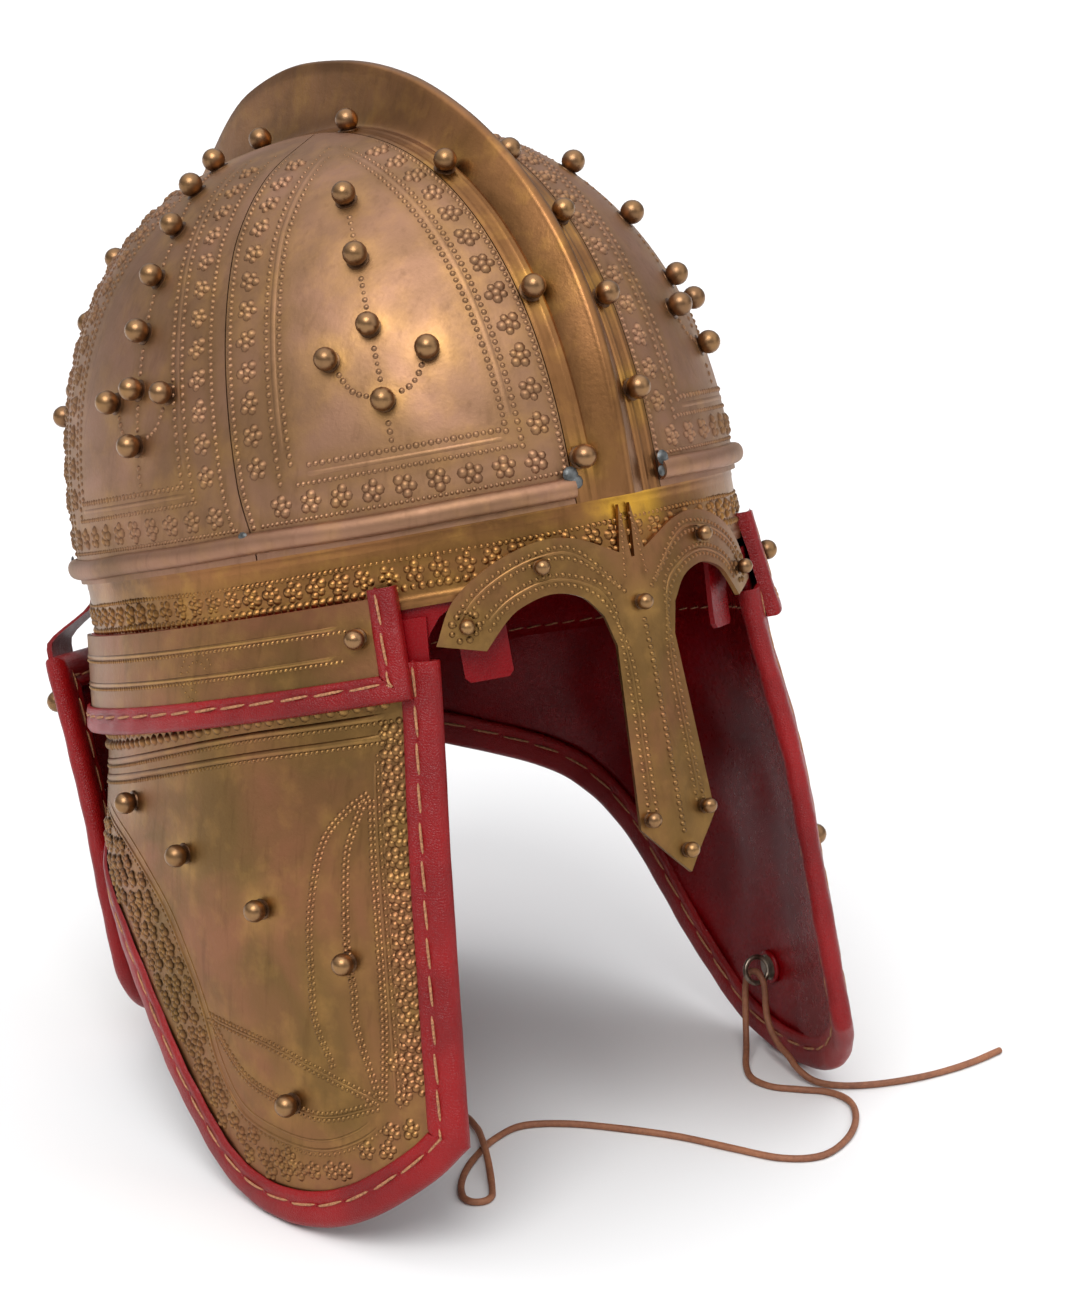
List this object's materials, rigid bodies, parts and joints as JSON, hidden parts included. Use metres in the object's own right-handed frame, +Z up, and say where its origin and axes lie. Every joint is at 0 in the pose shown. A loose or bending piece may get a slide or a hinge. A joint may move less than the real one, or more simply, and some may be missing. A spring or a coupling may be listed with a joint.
{
  "type": "roman cavalry helmet",
  "caption": "Late Roman cavalry ridge helmet in embossed brass and red leather, with a nasal plate, cheek guards, a hanging neck guard, ball studs and a leather tie lace",
  "frame": {"origin": "on the surface that the helmet stands on, under the middle of the box of the helmet without its lace", "axes": "+Z up, the face looks along -Y, and the wearer's left is +X. The helmet leans back by about 17.5 degrees, on its two cheek guards and its neck guard"},
  "size_m": [0.2767, 0.2958, 0.3397],
  "materials": {
    "brass": "aged, embossed sheet with rubbed golden highlights",
    "brass_golden": "polished sheet with a warm tarnish",
    "leather_red": "glossy dyed leather with tan stitches",
    "leather_dark_red": "glossy dark red lining leather",
    "lace_brown": "round raw leather lace"
  },
  "bodies": {
    "root": {"bead_left": "brass", "bead_right": "brass", "cheek_binding_left": "leather_red", "cheek_binding_right": "leather_red", "cheek_lining_left": "leather_dark_red", "cheek_lining_right": "leather_dark_red", "cheek_plate_left": "brass", "cheek_plate_right": "brass", "gore_front_left": "brass", "gore_front_right": "brass", "gore_middle_left": "brass", "gore_middle_right": "brass", "gore_rear_left": "brass", "gore_rear_right": "brass", "hanging_tab_left": "leather_dark_red", "hanging_tab_right": "leather_dark_red", "lace": "lace_brown", "lace_knot": "lace_brown", "nasal": "brass", "neck_binding": "leather_red", "neck_lining": "leather_dark_red", "neck_plate": "brass", "neck_strap_left": "leather_red", "neck_strap_right": "leather_red", "neck_strap_stud_left": "brass", "neck_strap_stud_right": "brass", "panel_backing_left": "leather_red", "panel_backing_right": "leather_red", "panel_binding_left": "leather_red", "panel_binding_right": "leather_red", "panel_plate_left": "brass", "panel_plate_right": "brass", "ridge_band": "brass_golden", "rim_band": "brass_golden", "sweatband": "leather_dark_red", "tie_ring_left": "brass_golden", "tie_ring_right": "brass_golden"}
  },
  "joints": []
}
